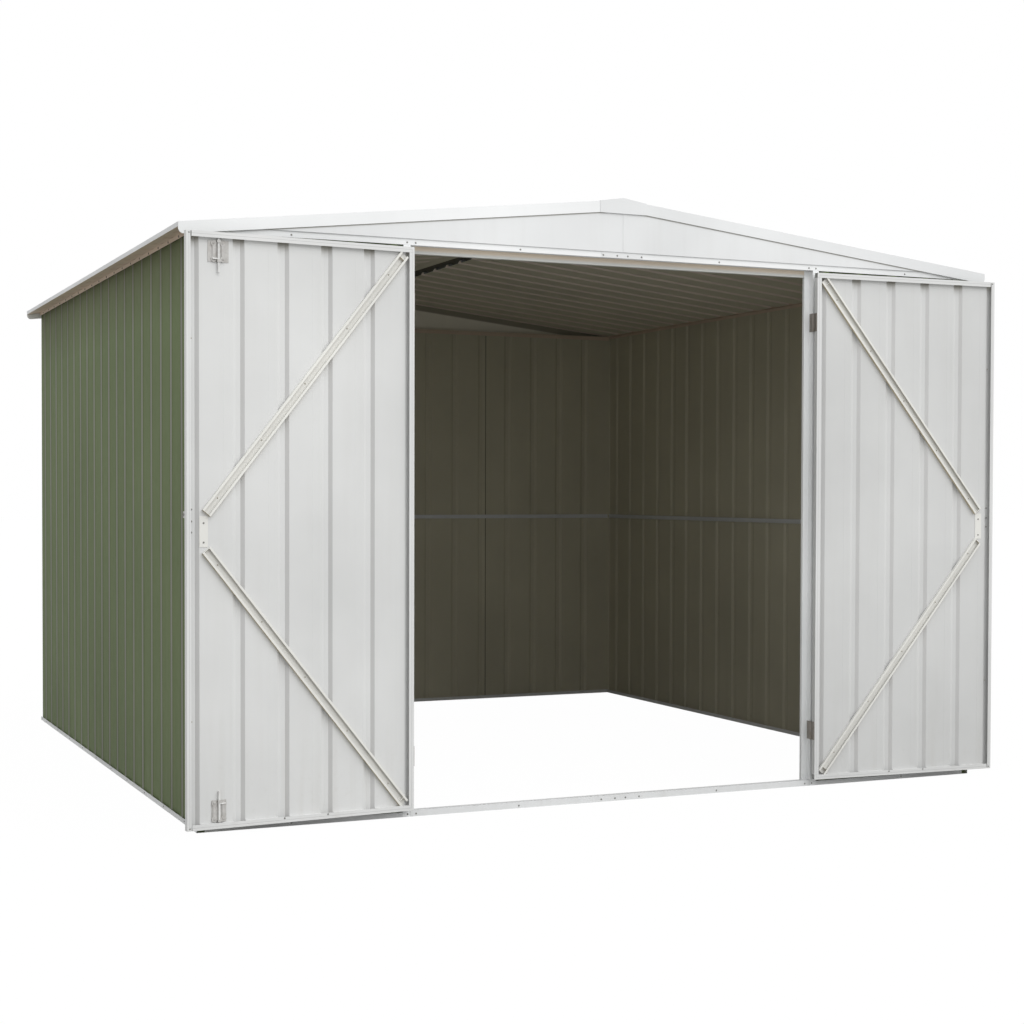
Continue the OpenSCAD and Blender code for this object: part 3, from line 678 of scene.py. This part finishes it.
# Doors: rivets through the free edge, strap, braces and channels, the returns of the channels against
# the flats of the panel, and a fine crease along each flat
WEB_V = PAN_V + SEAT + FOLD_T
FLANGE_V = DOOR_T - FOLD_T
EDGE_U = DOOR_W - 0.021
EDGE_Z = (1.019, 0.982, 0.948)
STILE_Z = (1.546, 0.362)
STRAP_U = DOOR_W - 0.058
STRAP_Z = (0.977, 0.917)
FOOT_RIVET_Z = CHANNEL_FOOT - 0.004
BRACE_U = [0.089 + i * 0.1458 for i in range(5)]
BRACE_FROM, BRACE_TO = (0.033, 1.850), (0.710, 1.0075)
BRACE_FALL = (BRACE_TO[1] - BRACE_FROM[1]) / (BRACE_TO[0] - BRACE_FROM[0])
CORNER_U = DOOR_W - 0.009
CORNER_Z = (DOOR_FOOT + 0.007, DOOR_TOP - 0.007)
CREASE_IN = RIB_FOOT / 2 + 0.027
CREASE_W, CREASE_H = 0.0011, 0.00025
RETURN_T = 0.0008
ROD_ROOM = 0.008

# Of each door: the middles of its grooves, the side of each flat that has the crease, and the depth at
# which its free edge is riveted, which is in a groove on the left door and on a flat on the right one
DOORS = {
    "left_door": (LEFT, [DOOR_W - EDGE_TO_GROOVE - i * RIB_PITCH for i in range(GROOVES)], 1, GROOVE_V),
    "right_door": (RIGHT, [EDGE_TO_GROOVE + i * RIB_PITCH for i in range(GROOVES)], -1, PAN_V),
}


def facing_in(door, places):
    """Points on the inner face of a door, with the direction that it faces."""
    return [(on_panel(door, *place), door.through) for place in places]


for body, (door, grooves, crease_side, edge_v) in DOORS.items():
    rivets = [(EDGE_U, edge_v, z) for z in EDGE_Z] + [(STRAP_U, WEB_V, z) for z in STRAP_Z]
    rivets += [(u, DOOR_T, FOOT_RIVET_Z) for u in grooves[2:4]]
    fasten(body + "_rivets", body, RIVET, facing_in(door, rivets), rivet_metal)
    pins = [(EDGE_U, edge_v, z) for z in STILE_Z]
    for u in BRACE_U:
        z = BRACE_FROM[1] + (u - BRACE_FROM[0]) * BRACE_FALL
        pins += [(u, WEB_V, z), (u, WEB_V, DOOR_TOP + DOOR_FOOT - z)]
    fasten(body + "_brace_rivets", body, SMALL_RIVET, facing_in(door, pins), pin_metal)
    corners = [(CORNER_U, DOOR_T, z) for z in CORNER_Z]
    fasten(body + "_corner_rivets", body, FLAT_RIVET, facing_in(door, corners), rivet_metal)

    creases, returns = [], []
    marks = sorted(grooves)
    for near, far in zip(marks, marks[1:]):
        u = (near if crease_side > 0 else far) + crease_side * CREASE_IN
        ridge = [(u - CREASE_W, PAN_V), (u, PAN_V + CREASE_H), (u + CREASE_W, PAN_V)]
        creases.append((ridge, CHANNEL_FOOT, CHANNEL_TOP))
        start, end = near + RIB_FOOT / 2, far - RIB_FOOT / 2
        spans = [(start, end)]
        if body == "left_door" and start < ROD_U < end:
            spans = [(start, ROD_U - ROD_ROOM), (ROD_U + ROD_ROOM, end)]
        for span in spans:
            strip = oblong(*span, PAN_V, FLANGE_V)
            returns += [(strip, CHANNEL_TOP, CHANNEL_TOP + RETURN_T),
                        (strip, CHANNEL_FOOT - RETURN_T, CHANNEL_FOOT)]
    sheet = frame["nodes"][body + "_panel"].data.materials[0]
    upright_prisms(body + "_creases", body, door, creases, sheet)
    upright_prisms(body + "_channel_returns", body, door, returns, frame_trim)

# Laps of the wall panels: the lip of each panel over the next one's edge
LAP_V, LAP_HALF = 0.0073, 0.0035
LAP_FOOT, LAP_TOP = FOLD_T + SEAT, WALL_TOP - FOLD_T - SEAT
WALLS = {
    "back_wall": (Panel(Vector((0, BACK_Y, 0)), RIGHTWARD, FRONT), BACK_JOINTS),
    "left_wall": (Panel(Vector((-SIDE_X, 0, 0)), BACK, RIGHTWARD), SIDE_JOINTS),
    "right_wall": (Panel(Vector((SIDE_X, 0, 0)), BACK, LEFTWARD), SIDE_JOINTS),
}
for name, (wall, joints) in WALLS.items():
    laps = [(oblong(u - LAP_HALF, u + LAP_HALF, LAP_V - SEAT, LAP_V), LAP_FOOT, LAP_TOP) for u in joints]
    sheet = frame["nodes"][name].data.materials[0]
    upright_prisms(name + "_laps", "shed", wall, laps, sheet)

# Screws through the plates of the slide bolts
LOBE_SIDE, LOBE_END, LOBE_OUT = 0.01475, 0.02475, 0.0038
PLATE_HALF = 0.034
PLATE_Z = (CHANNEL_TOP - 0.006 - PLATE_HALF, CHANNEL_FOOT + 0.002 + PLATE_HALF)
lobes = [(ROD_U + du, PAN_V + LOBE_OUT, z + dz)
         for z in PLATE_Z for du in (-LOBE_SIDE, LOBE_SIDE) for dz in (-LOBE_END, LOBE_END)]
fasten("bolt_screws", "left_door", SCREW, facing_in(LEFT, lobes), zinc)


# Stage
def stage_floor():
    """A floor that shows white to the camera but throws little light back into the shed."""
    bm = bmesh.new()
    bmesh.ops.create_grid(bm, x_segments=1, y_segments=1, size=60.0)
    floor = in_scene("floor", as_mesh("floor", bm))
    finish = Finish("floor_paper")
    seen = finish.seen_plainly()
    matt = finish.node("ShaderNodeBsdfDiffuse", None, {"Color": finish.mix(seen, FLOOR_BOUNCE, FLOOR_PALE)})
    glow = finish.node("ShaderNodeEmission")
    blend = finish.node("ShaderNodeMixShader", None, {0: seen * 0.99, 1: matt, 2: glow})
    finish.link(finish.tree.nodes["Material Output"], "Surface", blend)
    finish.tree.nodes.remove(finish.shader)
    floor.data.materials.append(finish.material)


def studio_world(level):
    """Even light, and a white background where the camera, a reflection or glass shows it."""
    world = bpy.data.worlds.new("studio")
    bpy.context.scene.world = world
    world.use_nodes = True
    nodes = Nodes(world.node_tree)
    backdrop = nodes.tree.nodes["Background"]
    nodes.link(backdrop, "Strength", level + (1.0 - level) * nodes.seen_plainly())
    nodes.link(backdrop, "Color", PAPER)


def soft_sun(name, bearing, height, width, power):
    """Light from far away: its bearing to the right of the front, its height and its width in degrees."""
    lamp = bpy.data.lights.new(name, "SUN")
    lamp.angle = math.radians(width)
    lamp.energy = power
    turn, rise = math.radians(bearing), math.radians(height)
    towards = Vector((math.sin(turn) * math.cos(rise), -math.cos(turn) * math.cos(rise), math.sin(rise)))
    in_scene(name, lamp).rotation_euler = (-towards).to_track_quat("-Z", "Y").to_euler()


def photo_camera():
    """The photograph's viewpoint, from a fit of points on the shed."""
    eye = Vector((-2.8395, FRONT_Y - 5.4293, 1.0752))
    yaw, pitch, roll = (math.radians(a) for a in (24.024, -1.344, 0.148))
    focal_px, centre_px, image_px = 1757.7, (511.2, 533.3), 1024.0
    look = Vector((math.sin(yaw) * math.cos(pitch), math.cos(yaw) * math.cos(pitch), math.sin(pitch)))
    level = Vector((math.cos(yaw), -math.sin(yaw), 0.0))
    upright = level.cross(look)
    right = level * math.cos(roll) + upright * math.sin(roll)
    up = upright * math.cos(roll) - level * math.sin(roll)
    camera = bpy.data.cameras.new("photo_view")
    camera.sensor_width = 36.0
    camera.lens = focal_px / image_px * camera.sensor_width
    camera.shift_x = 0.5 - centre_px[0] / image_px
    camera.shift_y = centre_px[1] / image_px - 0.5
    holder = in_scene("photo_view", camera)
    turn = Matrix((right, up, -look)).transposed().to_4x4()
    holder.matrix_world = Matrix.Translation(eye) @ turn
    bpy.context.scene.camera = holder


stage_floor()
studio_world(0.90)
soft_sun("key", bearing=30.0, height=48.0, width=60.0, power=1.95)
photo_camera()
bpy.context.scene.view_settings.view_transform = "Standard"
